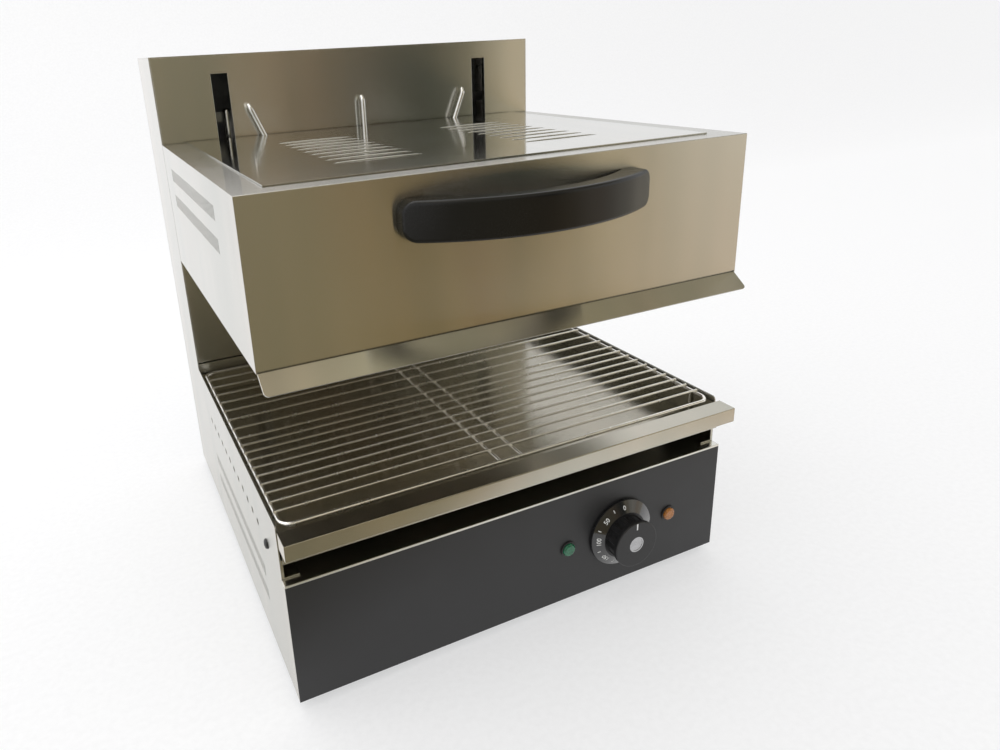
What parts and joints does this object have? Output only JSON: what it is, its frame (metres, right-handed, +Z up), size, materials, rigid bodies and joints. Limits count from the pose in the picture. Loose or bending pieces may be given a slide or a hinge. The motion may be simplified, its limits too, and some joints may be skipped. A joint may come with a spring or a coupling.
{
  "type": "cheese melter",
  "caption": "Counter-top lift salamander grill: a heated hood slides on a tower above a wire grid and a pull-out drip pan, with a knob and two lamps on the front.",
  "frame": {"origin": "on the resting surface, under the middle of the whole object from the handle's front to the cable gland's end and from left to right", "axes": "X to the right of a person in front of the grill, Y from the control panel to the tower, Z up"},
  "size_m": [0.4548, 0.53, 0.5238],
  "materials": {
    "casing_steel": "brushed along X",
    "hood_steel": "brushed along X",
    "plate_steel": "near mirror",
    "pan_steel": "satin",
    "galvanised": "matt zinc",
    "panel_black": "satin black enamel",
    "screw_steel": "bright zinc",
    "screw_black": "black oxide",
    "chrome_rod": "polished",
    "grid_wire": "bright nickel",
    "handle_black": "fine grained",
    "knob_black": "satin",
    "knob_insert": "satin",
    "lens_green": "clear tinted",
    "lens_amber": "clear tinted",
    "black_plastic": "moulded",
    "foot_rubber": "matt",
    "terminal_body": "moulded",
    "wire_cover": "silicone",
    "lead_cover": "silicone",
    "element_sheath": "oxidised",
    "mineral_wool": "fibrous",
    "rope_steel": "stranded",
    "pulley_plastic": "turned",
    "bush_plastic": "machined",
    "weight_iron": "as cast",
    "bulb_copper": "drawn"
  },
  "bodies": {
    "body": {"left_side_panel": "casing_steel", "right_side_panel": "casing_steel", "base_floor": "galvanised", "rubber_feet": "foot_rubber", "foot_screws": "screw_steel", "control_panel": "panel_black", "control_box_lid": "casing_steel", "tower_foot_rail": "casing_steel", "tower_front_panel": "casing_steel", "tower_back_cover": "galvanised", "cover_screws": "screw_steel", "tower_top_cap": "casing_steel", "cable_gland": "black_plastic", "left_runner": "pan_steel", "right_runner": "pan_steel", "runner_screws": "screw_black", "thermostat": "galvanised", "lamp_housings": "black_plastic", "power_lamp_lens": "lens_green", "heating_lamp_lens": "lens_amber", "terminal_block": "terminal_body", "control_wiring": "wire_cover", "guide_rods": "chrome_rod", "guide_rail": "galvanised", "pulley_rail": "galvanised", "pulley_brackets": "galvanised", "pulley_axles": "screw_steel", "pulley_ropes": "rope_steel"},
    "hood": {"hood_shell": "hood_steel", "hood_top_plate": "plate_steel", "plate_stops": "chrome_rod", "hood_back_panel": "galvanised", "hood_handle": "handle_black", "handle_screws": "screw_steel", "reflector": "pan_steel", "insulation": "mineral_wool", "front_element": "element_sheath", "rear_element": "element_sheath", "element_clips": "pan_steel", "sensor_bulb": "bulb_copper", "hood_terminal_block": "terminal_body", "hood_wiring": "wire_cover", "left_lift_arm": "galvanised", "right_lift_arm": "galvanised", "arm_screws": "screw_steel", "carriage_beam": "galvanised", "guide_bushes": "bush_plastic", "rope_anchors": "screw_steel", "hood_ropes": "rope_steel", "hood_lead": "lead_cover", "lead_slack": "lead_cover"},
    "pan": {"drip_pan": "pan_steel"},
    "grid": {"grill_grid": "grid_wire"},
    "weight": {"counterweight": "weight_iron", "weight_ropes": "rope_steel"},
    "pulley_left": {"left_pulley": "pulley_plastic"},
    "pulley_right": {"right_pulley": "pulley_plastic"},
    "knob": {"control_knob": "knob_black", "knob_cap": "knob_insert", "thermostat_shaft": "screw_steel"}
  },
  "joints": [
    {"name": "hood_slide", "type": "slide", "parent": "body", "child": "hood", "axis": [0, 0, 1], "range_m": [-0.09, 0.04], "deforming": ["hood_ropes", "lead_slack"]},
    {"name": "weight_slide", "type": "slide", "parent": "body", "child": "weight", "axis": [0, 0, 1], "range_m": [-0.041, 0.091], "deforming": ["weight_ropes"]},
    {"name": "pulley_left_turn", "type": "hinge", "parent": "body", "child": "pulley_left", "pos_m": [-0.1, 0.2033, 0.495], "axis": [1, 0, 0], "range_deg": [-142, 318]},
    {"name": "pulley_right_turn", "type": "hinge", "parent": "body", "child": "pulley_right", "pos_m": [0.1, 0.2033, 0.495], "axis": [1, 0, 0], "range_deg": [-142, 318]},
    {"name": "pan_slide", "type": "slide", "parent": "body", "child": "pan", "axis": [0, -1, 0], "range_m": [0, 0.3]},
    {"name": "grid_lift", "type": "slide", "parent": "pan", "child": "grid", "axis": [0, 0, 1], "range_m": [0, 0.02]},
    {"name": "knob_turn", "type": "hinge", "parent": "body", "child": "knob", "pos_m": [0.103, -0.219, 0.0673], "axis": [0, 1, 0], "range_deg": [0, 270]}
  ],
  "couplings": [
    {"joint": "weight_slide", "follows": "hood_slide", "ratio": -1},
    {"joint": "pulley_left_turn", "follows": "hood_slide", "rad_per_m": -61.35},
    {"joint": "pulley_right_turn", "follows": "hood_slide", "rad_per_m": -61.35}
  ]
}
